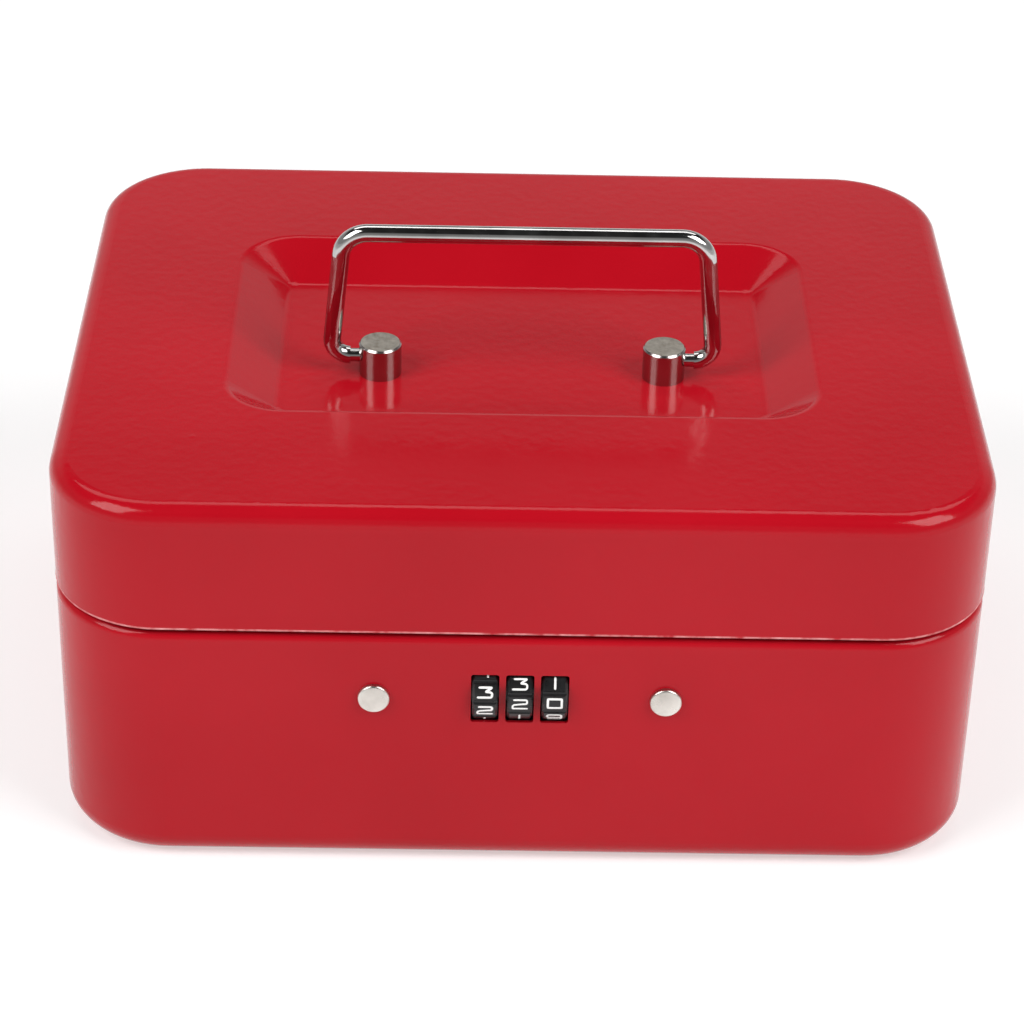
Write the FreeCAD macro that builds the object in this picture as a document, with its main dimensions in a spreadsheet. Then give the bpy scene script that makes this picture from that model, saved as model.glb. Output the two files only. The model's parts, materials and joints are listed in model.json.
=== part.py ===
import FreeCAD, Part
import math
import os
import re
import Sketcher
from FreeCAD import Vector

# Steel cash box with a three-dial combination lock and a folding bail handle.
# Millimetres. +X to the right, +Y to the rear, +Z up. The origin is under the middle of the floor.

sizes = {
    # box outline and sheet
    "box_width": 200,
    "box_depth": 160,
    "box_height": 90,
    "corner_radius": 24,
    "sheet_thickness": 0.8,
    # base: rounded shoulder, then a collar that stands up inside the lid
    "base_edge_radius": 6,
    "shoulder_height": 59.5,
    "shoulder_radius": 2,
    "collar_inset": 2.8,
    "collar_height": 67,
    # lid and its pressed handle well
    "lid_gap": 1,
    "lid_edge_radius": 4,
    "well_width": 130,
    "well_reach": 80.6,
    "well_middle": 1.3,
    "well_drop": 7,
    "well_slope": 11,
    "well_corner_radius": 13,
    "well_rim_radius": 2.5,
    "well_floor_radius": 3,
    # hinge
    "hinge_length": 110,
    "hinge_setback": 2.5,
    "knuckle_radius": 2.1,
    "knuckle_gap": 0.4,
    "hinge_pin_radius": 1.1,
    "pin_end_radius": 0.4,
    "leaf_thickness": 0.8,
    "leaf_offset": 1.2,
    "leaf_length": 14,
    "leaf_room": 0.3,
    # handle posts and bail
    "post_spacing": 63.4,
    "post_middle": -9.5,
    "post_radius": 4.75,
    "post_height": 7.6,
    "post_chamfer": 0.4,
    "post_socket_depth": 2.6,
    "pivot_height": 4.2,
    "bail_wire_radius": 2,
    "bail_pin_radius": 1.5,
    "bail_neck_length": 1.9,
    "bail_rise": 30.5,
    "bail_foot_spread": 85.6,
    "bail_grip_spread": 79.6,
    "bail_foot_bend": 4,
    "bail_grip_bend": 6,
    "bail_end_gap": 0.3,
    "post_screw_radius": 1.5,
    "post_screw_depth": 2.7,
    "post_screw_head_radius": 2.8,
    "post_screw_head_height": 1.8,
    "washer_radius": 4,
    "washer_thickness": 0.8,
    # dials and their slots in the front
    "dial_drop": 15.5,
    "dial_radius": 7.3,
    "dial_width": 5.4,
    "dial_pitch": 7.4,
    "dial_setback": 4.5,
    "dial_chamfer": 0.5,
    "dial_bore_radius": 3.4,
    "dial_groove_radius": 0.6,
    "dial_groove_depth": 0.35,
    "keyway_depth": 0.6,
    "key_width": 0.9,
    "key_length": 2,
    "left_dial_turn": 15,
    "middle_dial_turn": 0,
    "right_dial_turn": -2.5,
    "slot_clearance": 0.4,
    "slot_corner_radius": 0.6,
    # code sleeves, spindle and bolt
    "sleeve_length": 6.8,
    "sleeve_bore_radius": 2.7,
    "sleeve_shoulder_radius": 4.1,
    "flange_thickness": 1,
    "gate_width": 1.9,
    "spindle_radius": 1.5,
    "spindle_tail": 27,
    "spindle_stub_radius": 1,
    "collar_radius": 2.7,
    "collar_thickness": 1,
    "collar_offset": 16.4,
    "lug_radius": 2.4,
    "lug_width": 1.4,
    "lug_length": 1,
    "lug_clearance": 0.2,
    "bolt_side": 4,
    "bolt_length": 6,
    "bolt_bevel": 1.2,
    "bolt_gap": 0.4,
    # bolt spring and detent spring
    "spring_radius": 2.1,
    "spring_wire_radius": 0.25,
    "detent_thickness": 0.4,
    "detent_gap": 0.35,
    "detent_foot": 5.4,
    "detent_finger_rise": 1.5,
    # lock case and cover
    "case_ear": 5,
    "case_height": 19,
    "case_depth": 13.5,
    "case_wall": 1.5,
    "case_corner_radius": 2.5,
    "web_thickness": 1.6,
    "web_offset": 12.4,
    "spring_web_offset": 23.6,
    "web_reach": 8,
    "boss_radius": 2.4,
    "boss_offset": 1,
    "boss_rise": 2,
    "cover_thickness": 1.2,
    "cover_screw_radius": 0.95,
    "cover_screw_depth": 6,
    "cover_screw_head_radius": 2,
    "cover_screw_head_height": 1.2,
    # rivets that hold the lock to the front
    "rivet_spacing": 62,
    "rivet_head_radius": 3.4,
    "rivet_head_height": 1.1,
    "rivet_edge_radius": 0.5,
    "rivet_shank_radius": 2,
    "rivet_tail_radius": 2.9,
    "rivet_tail_height": 1,
    # lid keeper
    "keeper_thickness": 1.2,
    "keeper_leg_width": 6,
    "keeper_nose": 3,
    "keeper_nose_height": 3.9,
    "keeper_bevel": 2.2,
    "keeper_set_in": 5,
    "keeper_crank_height": 69,
    "keeper_flange_height": 15,
    "keeper_clearance": 0.6,
    "keeper_swing": 1.9,
    # coin tray
    "tray_clearance": 0.6,
    "tray_lip": 1.2,
    "tray_lip_thickness": 1.4,
    "tray_depth": 30,
    "tray_wall": 1.6,
    "tray_front_gap": 4,
    "tray_front_radius": 6,
    "tray_edge_radius": 4,
    "tray_coin_reach": 66,
    "tray_cell_radius": 9,
    "tray_scoop_radius": 8,
    # fits
    "running_gap": 0.06,
    "seat_gap": 0.05,
    "touch_gap": 0.3,
    "cut_margin": 1,
}
digit_count = 10
knuckle_count = 5
coin_cells = 4
spring_turns = 5
tolerance = 1e-4

doc = FreeCAD.newDocument("CashBox")
sheet = doc.addObject("Spreadsheet::Sheet", "Sizes")
for row, (name, number) in enumerate(sizes.items(), start=1):
    sheet.set(f"A{row}", name)
    sheet.set(f"B{row}", str(number))
    sheet.setAlias(f"B{row}", name)
doc.recompute()
parts = []


def bound(text):
    return re.sub(r"[a-z_]+", lambda word: f"Sizes.{word[0]}" if word[0] in sizes else word[0], text)


def value(text):
    return float(sheet.evalExpression(text))


def spread(width, middle="0"):
    return f"({middle}) - ({width}) / 2", f"({middle}) + ({width}) / 2"


# Places that several pieces share
front = "(-box_depth / 2)"
front_inside = "(sheet_thickness - box_depth / 2)"
rear = "(box_depth / 2)"
rear_inside = "(box_depth / 2 - sheet_thickness)"
lid_rim = "(shoulder_height + lid_gap)"
hinge_y = "(box_depth / 2 + hinge_setback)"
hinge_z = "(shoulder_height + lid_gap / 2)"
notch_half = "(leaf_offset + leaf_thickness + leaf_room)"
notch_length = "(hinge_length + 2 * leaf_room)"
well_floor = "(box_height - well_drop)"
pan_under = "(box_height - well_drop - sheet_thickness)"
dial_y = f"({front_inside} + dial_setback)"
case_front = f"({front_inside} + case_wall)"
case_rear = f"({front_inside} + case_depth)"
dial_z = "(shoulder_height - dial_drop)"
case_top = f"({dial_z} + case_height / 2)"
case_floor = f"({dial_z} - case_height / 2 + case_wall)"
boss_z = f"({case_floor} + boss_rise)"
case_width = "(rivet_spacing + 2 * case_ear)"
boss_x = "(rivet_spacing / 2 + boss_offset)"
bolt_start = "(web_offset + web_thickness / 2 + bolt_gap)"
nose_tip = f"({bolt_start} + bolt_length + bolt_gap)"
nose_top = f"({dial_z} - bolt_side / 2 - touch_gap)"
keeper_face = f"({front_inside} + keeper_set_in)"
collar_inside = "(collar_inset + sheet_thickness)"
socket_radius = "(bail_pin_radius + running_gap)"
dial_places = {"left": "(-dial_pitch)", "middle": "0", "right": "dial_pitch"}
post_sides = {"left": -1, "right": 1}


def new_body(label, listed=True):
    body = doc.addObject("PartDesign::Body", label)
    body.Label = label
    if listed:
        parts.append(body)
    return body


def place(body, x="0", y="0", z="0"):
    for axis, text in zip("xyz", (x, y, z)):
        body.setExpression(f"Placement.Base.{axis}", bound(text))


def new_sketch(body, name, plane, offset="0", turn="0"):
    sketch = body.newObject("Sketcher::SketchObject", f"{body.Name}_{name}")
    support = next(item for item in body.Origin.OriginFeatures if item.Role == f"{plane}_Plane")
    sketch.AttachmentSupport = [(support, "")]
    sketch.MapMode = "FlatFace"
    sketch.setExpression("AttachmentOffset.Base.z", bound(offset))
    sketch.setExpression("AttachmentOffset.Rotation.Angle", bound(turn))
    return sketch


def tie(sketch, kind, where, text):
    index = sketch.addConstraint(Sketcher.Constraint(kind, *where, value(text)))
    sketch.setExpression(f"Constraints[{index}]", bound(text))


def pin(sketch, item, vertex, across, up):
    tie(sketch, "DistanceX", (-1, 1, item, vertex), across)
    tie(sketch, "DistanceY", (-1, 1, item, vertex), up)


def circle(sketch, across, up, radius):
    middle = Vector(value(across), value(up), 0)
    item = sketch.addGeometry(Part.Circle(middle, Vector(0, 0, 1), value(radius)))
    pin(sketch, item, 3, across, up)
    tie(sketch, "Radius", (item,), radius)


def outline(sketch, points):
    corners = [Vector(value(across), value(up), 0) for across, up in points]
    lines = []
    for start, end in zip(corners, corners[1:] + corners[:1]):
        lines.append(sketch.addGeometry(Part.LineSegment(start, end)))
    for line, following, point in zip(lines, lines[1:] + lines[:1], points):
        sketch.addConstraint(Sketcher.Constraint("Coincident", line, 2, following, 1))
        pin(sketch, line, 1, *point)


def rectangle(sketch, left, right, low, high):
    outline(sketch, [(left, low), (right, low), (right, high), (left, high)])


def rounded(sketch, left, right, low, high, radius, low_radius=None):
    low_radius = low_radius or radius
    middles = [
        (f"({right}) - ({radius})", f"({high}) - ({radius})", radius),
        (f"({left}) + ({radius})", f"({high}) - ({radius})", radius),
        (f"({left}) + ({low_radius})", f"({low}) + ({low_radius})", low_radius),
        (f"({right}) - ({low_radius})", f"({low}) + ({low_radius})", low_radius),
    ]
    arcs = []
    for quarter, (across, up, bend) in enumerate(middles):
        ring = Part.Circle(Vector(value(across), value(up), 0), Vector(0, 0, 1), value(bend))
        turn = quarter * math.pi / 2
        arc = sketch.addGeometry(Part.ArcOfCircle(ring, turn, turn + math.pi / 2))
        pin(sketch, arc, 3, across, up)
        tie(sketch, "Radius", (arc,), bend)
        arcs.append(arc)
    for arc, following in zip(arcs, arcs[1:] + arcs[:1]):
        ends = sketch.getPoint(arc, 2), sketch.getPoint(following, 1)
        line = sketch.addGeometry(Part.LineSegment(*ends))
        sketch.addConstraint(Sketcher.Constraint("Tangent", arc, 2, line, 1))
        sketch.addConstraint(Sketcher.Constraint("Tangent", line, 2, following, 1))


def bent_path(sketch, points, bends):
    # Straight runs through the points, joined by tangent arcs at every inner point.
    corners = [Vector(value(across), value(up), 0) for across, up in points]
    marks = []
    for corner, point in zip(corners, points):
        mark = sketch.addGeometry(Part.Point(corner), True)
        pin(sketch, mark, 1, *point)
        marks.append(mark)
    starts, ends, arcs = [corners[0]], [], []
    for before, corner, after, bend in zip(corners, corners[1:], corners[2:], bends):
        back = (before - corner).normalize()
        ahead = (after - corner).normalize()
        half = back.getAngle(ahead) / 2
        middle_way = (back + ahead).normalize()
        reach = value(bend) / math.tan(half)
        centre = corner + middle_way * (value(bend) / math.sin(half))
        ends.append(corner + back * reach)
        starts.append(corner + ahead * reach)
        arcs.append(Part.Arc(ends[-1], centre - middle_way * value(bend), starts[-1]))
    ends.append(corners[-1])
    lines = [sketch.addGeometry(Part.LineSegment(*run)) for run in zip(starts, ends)]
    for before, after, mark in zip(lines, lines[1:], marks[1:]):
        sketch.addConstraint(Sketcher.Constraint("PointOnObject", mark, 1, before))
        sketch.addConstraint(Sketcher.Constraint("PointOnObject", mark, 1, after))
    for line, following, arc, bend in zip(lines, lines[1:], arcs, bends):
        curve = sketch.addGeometry(arc)
        first, last = 1, 2
        if (sketch.getPoint(curve, first) - sketch.getPoint(line, 2)).Length > tolerance:
            first, last = last, first
        sketch.addConstraint(Sketcher.Constraint("Tangent", line, 2, curve, first))
        sketch.addConstraint(Sketcher.Constraint("Tangent", curve, last, following, 1))
        tie(sketch, "Radius", (curve,), bend)
    sketch.addConstraint(Sketcher.Constraint("Coincident", lines[0], 1, marks[0], 1))
    sketch.addConstraint(Sketcher.Constraint("Coincident", lines[-1], 2, marks[-1], 1))


def extrude(body, sketch, length, kind, backwards, both_ways):
    feature = body.newObject(f"PartDesign::{kind}", f"{sketch.Name}_{kind.lower()}")
    feature.Profile = sketch
    feature.setExpression("Length", bound(length))
    feature.Reversed = backwards
    if both_ways:
        feature.SideType = "Symmetric"
    doc.recompute()
    return feature


def pad(body, sketch, length, backwards=False, both_ways=False):
    return extrude(body, sketch, length, "Pad", backwards, both_ways)


def cut(body, sketch, length, backwards=False, both_ways=False):
    before = body.Shape.Volume
    feature = extrude(body, sketch, length, "Pocket", backwards, both_ways)
    if body.Shape.Volume >= before - tolerance:
        raise RuntimeError(f"{feature.Name} cuts nothing")
    return feature


def revolve(body, sketch, axis):
    feature = body.newObject("PartDesign::Revolution", f"{sketch.Name}_turned")
    feature.Profile = sketch
    feature.ReferenceAxis = (sketch, [axis])
    doc.recompute()
    return feature


def loft(body, kind, first, second):
    feature = body.newObject(f"PartDesign::{kind}", f"{first.Name}_loft")
    feature.Profile = first
    feature.Sections = [second]
    feature.Ruled = True
    doc.recompute()
    return feature


def edges_where(feature, test):
    return [f"Edge{number}" for number, edge in enumerate(feature.Shape.Edges, start=1) if test(edge)]


def level(height):
    target = value(height)

    def test(edge):
        return abs(edge.BoundBox.ZMin - target) < tolerance and abs(edge.BoundBox.ZMax - target) < tolerance
    return test


def soften(body, feature, edges, size, kind="Fillet"):
    dressed = body.newObject(f"PartDesign::{kind}", f"{feature.Name}_{kind.lower()}")
    dressed.Base = (feature, edges)
    dressed.setExpression("Radius" if kind == "Fillet" else "Size", bound(size))
    doc.recompute()
    return dressed


def hollow(body, feature, opening):
    faces = [f"Face{number}" for number, face in enumerate(feature.Shape.Faces, start=1) if opening(face)]
    wall = body.newObject("PartDesign::Thickness", f"{feature.Name}_wall")
    wall.Base = (feature, faces)
    wall.setExpression("Value", bound("sheet_thickness"))
    wall.Reversed = True
    doc.recompute()
    return wall


def repeat_round(body, feature, axis, count):
    pattern = body.newObject("PartDesign::PolarPattern", f"{feature.Name}_ring")
    pattern.Originals = [feature]
    pattern.Axis = (next(item for item in body.Origin.OriginFeatures if item.Role == axis), [""])
    pattern.Angle = 360
    pattern.Occurrences = count
    body.Tip = pattern
    doc.recompute()
    return pattern


def group(label, members):
    bundle = doc.addObject("Part::Compound", label)
    bundle.Label = label
    bundle.Links = members
    parts.append(bundle)
    doc.recompute()


# Drawn base: rounded walls, shoulder and collar, then one even sheet
base = new_body("base_shell")
plan = new_sketch(base, "plan", "XY")
rounded(plan, *spread("box_width"), *spread("box_depth"), "corner_radius")
block = pad(base, plan, "shoulder_height")
block = soften(base, block, edges_where(block, level("0")), "base_edge_radius")
block = soften(base, block, edges_where(block, level("shoulder_height")), "shoulder_radius")
neck = new_sketch(base, "collar", "XY", "shoulder_height")
neck_width = "box_width - 2 * collar_inset"
neck_depth = "box_depth - 2 * collar_inset"
rounded(neck, *spread(neck_width), *spread(neck_depth), "corner_radius - collar_inset")
block = pad(base, neck, "collar_height - shoulder_height")
hollow(base, block, lambda face: face.BoundBox.ZMin > value("collar_height") - tolerance)

# Openings in the front for the dials and the lock rivets
openings = new_sketch(base, "openings", "XZ", "box_depth / 2 + cut_margin")
slot_width = "(dial_width + 2 * touch_gap)"
slot_height = "(2 * (sqrt(dial_radius ^ 2 - dial_setback ^ 2) + slot_clearance))"
for x in dial_places.values():
    rounded(openings, *spread(slot_width, x), *spread(slot_height, dial_z), "slot_corner_radius")
for side in post_sides.values():
    circle(openings, f"{side} * rivet_spacing / 2", dial_z, "rivet_shank_radius + seat_gap")
cut(base, openings, "sheet_thickness + 2 * cut_margin")
hinge_notch = new_sketch(base, "hinge_notch", "YZ")
notch_inner = f"({rear_inside} - leaf_thickness - leaf_room)"
rectangle(hinge_notch, notch_inner, f"{rear} + cut_margin", "shoulder_height - shoulder_radius",
          "shoulder_height + cut_margin")
cut(base, hinge_notch, notch_length, both_ways=True)

# Lid: the same outline with a tapered well pressed into the top
lid = new_body("lid_shell")
plan = new_sketch(lid, "plan", "XY", lid_rim)
rounded(plan, *spread("box_width"), *spread("box_depth"), "corner_radius")
block = pad(lid, plan, f"box_height - {lid_rim}")
block = soften(lid, block, edges_where(block, level("box_height")), "lid_edge_radius")
well_rim = new_sketch(lid, "well_rim", "XY", "box_height")
rounded(well_rim, *spread("well_width"), *spread("well_reach", "well_middle"), "well_corner_radius")
well_foot = new_sketch(lid, "well_foot", "XY", well_floor)
rounded(well_foot, *spread("well_width - 2 * well_slope"),
        *spread("well_reach - 2 * well_slope", "well_middle"), "well_corner_radius - well_slope")
block = loft(lid, "SubtractiveLoft", well_rim, well_foot)
well_half = value("well_width / 2") + tolerance
on_top = level("box_height")
rim_edges = edges_where(block, lambda edge: on_top(edge) and abs(edge.BoundBox.XMax) < well_half
                        and abs(edge.BoundBox.XMin) < well_half
                        and edge.BoundBox.YMax < value("well_middle + well_reach / 2") + tolerance
                        and edge.BoundBox.YMin > value("well_middle - well_reach / 2") - tolerance)
block = soften(lid, block, rim_edges, "well_rim_radius")
block = soften(lid, block, edges_where(block, level(well_floor)), "well_floor_radius")
hollow(lid, block, lambda face: face.BoundBox.ZMax < value(lid_rim) + tolerance)
hinge_notch = new_sketch(lid, "hinge_notch", "YZ")
rectangle(hinge_notch, f"{rear_inside} - cut_margin", f"{rear} + cut_margin", f"{lid_rim} - cut_margin",
          f"{hinge_z} + {notch_half}")
cut(lid, hinge_notch, notch_length, both_ways=True)
screw_holes = new_sketch(lid, "screw_holes", "XY", f"{well_floor} + cut_margin")
for side in post_sides.values():
    circle(screw_holes, f"{side} * post_spacing / 2", "post_middle", "post_screw_radius + touch_gap")
cut(lid, screw_holes, "sheet_thickness + 2 * cut_margin")


# Hinge: two cranked leaves whose knuckles alternate along one pin
def hinge_leaf(label, up, other_knuckles):
    leaf = new_body(label)
    strip = new_sketch(leaf, "strip", "YZ")
    inner = f"({rear_inside} - leaf_thickness)"
    near = f"{hinge_z} + {up} * leaf_offset"
    far = f"{hinge_z} + {up} * (leaf_offset + leaf_thickness)"
    tip = f"{hinge_z} + {up} * (leaf_offset + leaf_length)"
    outline(strip, [(hinge_y, near), (hinge_y, far), (rear_inside, far), (rear_inside, tip),
                    (inner, tip), (inner, near)])
    pad(leaf, strip, "hinge_length", both_ways=True)
    barrel = new_sketch(leaf, "barrel", "YZ")
    circle(barrel, hinge_y, hinge_z, "knuckle_radius")
    pad(leaf, barrel, "hinge_length", both_ways=True)
    bore = new_sketch(leaf, "bore", "YZ")
    circle(bore, hinge_y, hinge_z, "hinge_pin_radius + seat_gap")
    cut(leaf, bore, "hinge_length + 2 * cut_margin", both_ways=True)
    gaps = new_sketch(leaf, "gaps", "XY", f"{hinge_z} - knuckle_radius - cut_margin")
    for number in other_knuckles:
        place_along = f"hinge_length * ({number} - {(knuckle_count - 1) // 2}) / {knuckle_count}"
        rectangle(gaps, *spread(f"hinge_length / {knuckle_count} + knuckle_gap", place_along),
                  f"{hinge_y} - knuckle_radius - leaf_room", f"{hinge_y} + knuckle_radius + cut_margin")
    cut(leaf, gaps, "2 * (knuckle_radius + cut_margin)", backwards=True)


hinge_leaf("hinge_leaf_base", -1, range(1, knuckle_count, 2))
hinge_leaf("hinge_leaf_lid", 1, range(0, knuckle_count, 2))
hinge_pin = new_body("hinge_pin")
round_bar = new_sketch(hinge_pin, "section", "YZ")
circle(round_bar, "0", "0", "hinge_pin_radius")
bar = pad(hinge_pin, round_bar, "hinge_length", both_ways=True)
soften(hinge_pin, bar, edges_where(bar, lambda edge: edge.BoundBox.XLength < tolerance), "pin_end_radius")
place(hinge_pin, "0", hinge_y, hinge_z)


# Handle posts: turned cylinders with a socket for the bail on the outer side
def handle_post(label, side):
    post = new_body(label)
    profile = new_sketch(post, "profile", "XZ")
    outline(profile, [("0", "0"), ("post_radius", "0"), ("post_radius", "post_height - post_chamfer"),
                      ("post_radius - post_chamfer", "post_height"), ("0", "post_height")])
    revolve(post, profile, "V_Axis")
    thread = new_sketch(post, "thread", "XY")
    circle(thread, "0", "0", "post_screw_radius + seat_gap")
    cut(post, thread, "post_screw_depth + touch_gap", backwards=True)
    socket = new_sketch(post, "socket", "YZ", f"{side} * (post_radius + cut_margin)")
    circle(socket, "0", "pivot_height", socket_radius)
    cut(post, socket, "post_socket_depth + cut_margin", backwards=side < 0)
    place(post, f"{side} * post_spacing / 2", "post_middle", well_floor)


for name, side in post_sides.items():
    handle_post(f"handle_post_{name}", side)


# Turned fastener: head below the seat, shank above it, on the local Z axis
def headed_screw(label, shank_radius, shank_length, head_radius, head_height):
    screw = new_body(label, listed=False)
    profile = new_sketch(screw, "profile", "XZ")
    outline(profile, [("0", f"-{head_height}"), (head_radius, f"-{head_height}"), (head_radius, "0"),
                      (shank_radius, "0"), (shank_radius, shank_length), ("0", shank_length)])
    turned = revolve(screw, profile, "V_Axis")
    crown = edges_where(turned, level(f"-{head_height}"))
    soften(screw, turned, crown, f"{head_height} / 3", "Chamfer")
    return screw


def washer(label):
    ring = new_body(label, listed=False)
    section = new_sketch(ring, "section", "XY")
    circle(section, "0", "0", "washer_radius")
    circle(section, "0", "0", "post_screw_radius + touch_gap")
    pad(ring, section, "washer_thickness")
    return ring


screws, washers = [], []
for name, side in post_sides.items():
    seat = f"{pan_under} - washer_thickness"
    across = f"{side} * post_spacing / 2"
    screws.append(headed_screw(f"post_screw_{name}", "post_screw_radius",
                               "washer_thickness + sheet_thickness + post_screw_depth",
                               "post_screw_head_radius", "post_screw_head_height"))
    place(screws[-1], across, "post_middle", seat)
    washers.append(washer(f"post_washer_{name}"))
    place(washers[-1], across, "post_middle", seat)
group("handle_post_screws", screws)
group("handle_post_washers", washers)

# Bail: one bent wire whose ends turn inwards and are necked down to pins that run in the posts
bail = new_body("bail_handle")
pivot_z = f"({well_floor} + pivot_height)"
grip_z = f"({pivot_z} + bail_rise)"
bail_end = "(post_spacing / 2 + post_radius - post_socket_depth + bail_end_gap)"
route = new_sketch(bail, "route", "XZ", "-post_middle")
bent_path(route, [(f"-{bail_end}", pivot_z), ("-bail_foot_spread / 2", pivot_z),
                  ("-bail_grip_spread / 2", grip_z), ("bail_grip_spread / 2", grip_z),
                  ("bail_foot_spread / 2", pivot_z), (bail_end, pivot_z)],
          ["bail_foot_bend", "bail_grip_bend", "bail_grip_bend", "bail_foot_bend"])
section = new_sketch(bail, "section", "YZ", f"-{bail_end}")
circle(section, "post_middle", pivot_z, "bail_wire_radius")
wire = bail.newObject("PartDesign::AdditivePipe", "bail_wire")
wire.Profile = section
wire.Spine = route
doc.recompute()
neck_start = "(post_spacing / 2 + post_radius + bail_neck_length)"
for name, side in post_sides.items():
    neck = new_sketch(bail, f"neck_{name}", "YZ", f"{side} * {neck_start}")
    circle(neck, "post_middle", pivot_z, "bail_wire_radius + cut_margin")
    circle(neck, "post_middle", pivot_z, "bail_pin_radius")
    cut(bail, neck, f"{neck_start} - {bail_end} + cut_margin", backwards=side < 0)

# Lock case: a cast tray with dial slots, bearing webs and screw bosses, open to the rear
case = new_body("lock_case")
face = new_sketch(case, "face", "XZ", f"-{front_inside}")
rounded(face, *spread(case_width), *spread("case_height", dial_z), "case_corner_radius")
pad(case, face, "case_depth", backwards=True)
cavity = new_sketch(case, "cavity", "XZ", f"-{case_rear}")
rounded(cavity, *spread(f"{case_width} - 2 * case_wall"),
        *spread("case_height - 2 * case_wall", dial_z), "case_corner_radius - case_wall")
cut(case, cavity, "case_depth - case_wall", backwards=True)
web_places = ["-spring_web_offset", "-web_offset", "web_offset"]
webs = new_sketch(case, "webs", "XZ", f"-{case_front}")
for x in web_places:
    rectangle(webs, *spread("web_thickness", x), *spread("case_height - case_wall", dial_z))
pad(case, webs, "web_reach", backwards=True)
bosses = new_sketch(case, "bosses", "XZ", f"-{case_front}")
for side in post_sides.values():
    circle(bosses, f"{side} * {boss_x}", boss_z, "boss_radius")
pad(case, bosses, "case_depth - case_wall", backwards=True)
bearing = new_sketch(case, "bearing", "YZ")
circle(bearing, dial_y, dial_z, "spindle_radius + running_gap")
cut(case, bearing, f"{case_width} - 4 * case_wall", both_ways=True)
bearing_mouth = new_sketch(case, "bearing_mouth", "YZ")
rectangle(bearing_mouth, dial_y, case_rear, *spread("2 * (spindle_radius + running_gap)", dial_z))
cut(case, bearing_mouth, f"{case_width} - 4 * case_wall", both_ways=True)
windows = new_sketch(case, "windows", "XZ", f"cut_margin - {front_inside}")
window_height = "(2 * (sqrt(dial_radius ^ 2 - (dial_setback - case_wall) ^ 2) + slot_clearance))"
window_width = "(2 * dial_pitch + sleeve_length + 2 * touch_gap)"
rounded(windows, *spread(window_width), *spread(window_height, dial_z), "slot_corner_radius")
for side in post_sides.values():
    circle(windows, f"{side} * rivet_spacing / 2", dial_z, "rivet_shank_radius + seat_gap")
cut(case, windows, "case_wall + 2 * cut_margin")
pilots = new_sketch(case, "pilots", "XZ", f"-{case_rear}")
for side in post_sides.values():
    circle(pilots, f"{side} * {boss_x}", boss_z, "cover_screw_radius + seat_gap")
cut(case, pilots, "cover_screw_depth + touch_gap", backwards=True)
keeper_slot = new_sketch(case, "keeper_slot", "XY", f"{case_top} + cut_margin")
rectangle(keeper_slot, f"{nose_tip} - keeper_clearance",
          f"{nose_tip} + keeper_nose + keeper_leg_width + keeper_clearance",
          f"{keeper_face} - keeper_swing", f"{keeper_face} + keeper_thickness + keeper_clearance")
cut(case, keeper_slot, "case_wall + 2 * cut_margin")

# Lock cover: rear plate with fingers that keep the spindle down in its bearings
cover = new_body("lock_cover")
plate = new_sketch(cover, "plate", "XZ", f"-{case_rear}")
rounded(plate, *spread(case_width), *spread("case_height", dial_z), "case_corner_radius")
for side in post_sides.values():
    circle(plate, f"{side} * {boss_x}", boss_z, "cover_screw_radius + touch_gap")
pad(cover, plate, "cover_thickness", backwards=True)
fingers = new_sketch(cover, "fingers", "XZ", f"-{case_rear}")
for x in web_places:
    rectangle(fingers, *spread("web_thickness", x), *spread("2 * spindle_radius", dial_z))
pad(cover, fingers, "case_depth - dial_setback - spindle_radius - touch_gap")
cover_screws = []
for name, side in post_sides.items():
    screw = headed_screw(f"cover_screw_{name}", "cover_screw_radius", "cover_thickness + cover_screw_depth",
                         "cover_screw_head_radius", "cover_screw_head_height")
    screw.Placement = FreeCAD.Placement(Vector(), FreeCAD.Rotation(Vector(1, 0, 0), 90))
    place(screw, f"{side} * {boss_x}", f"{case_rear} + cover_thickness", boss_z)
    cover_screws.append(screw)
group("lock_cover_screws", cover_screws)


# Rivets through the front wall into the lock case, on the local Y axis
def lock_rivet(label):
    rivet = new_body(label, listed=False)
    profile = new_sketch(rivet, "profile", "XY")
    grip = "(sheet_thickness + case_wall)"
    outline(profile, [("0", "-rivet_head_height"), ("rivet_head_radius", "-rivet_head_height"),
                      ("rivet_head_radius", "0"), ("rivet_shank_radius", "0"),
                      ("rivet_shank_radius", grip), ("rivet_tail_radius", grip),
                      ("rivet_tail_radius", f"{grip} + rivet_tail_height"),
                      ("0", f"{grip} + rivet_tail_height")])
    turned = revolve(rivet, profile, "V_Axis")
    front_plane = value("-rivet_head_height") + tolerance
    soften(rivet, turned, edges_where(turned, lambda edge: edge.BoundBox.YMax < front_plane),
           "rivet_edge_radius")
    return rivet


rivets = []
for name, side in post_sides.items():
    rivets.append(lock_rivet(f"lock_rivet_{name}"))
    place(rivets[-1], f"{side} * rivet_spacing / 2", front, dial_z)
group("lock_rivets", rivets)


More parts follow.
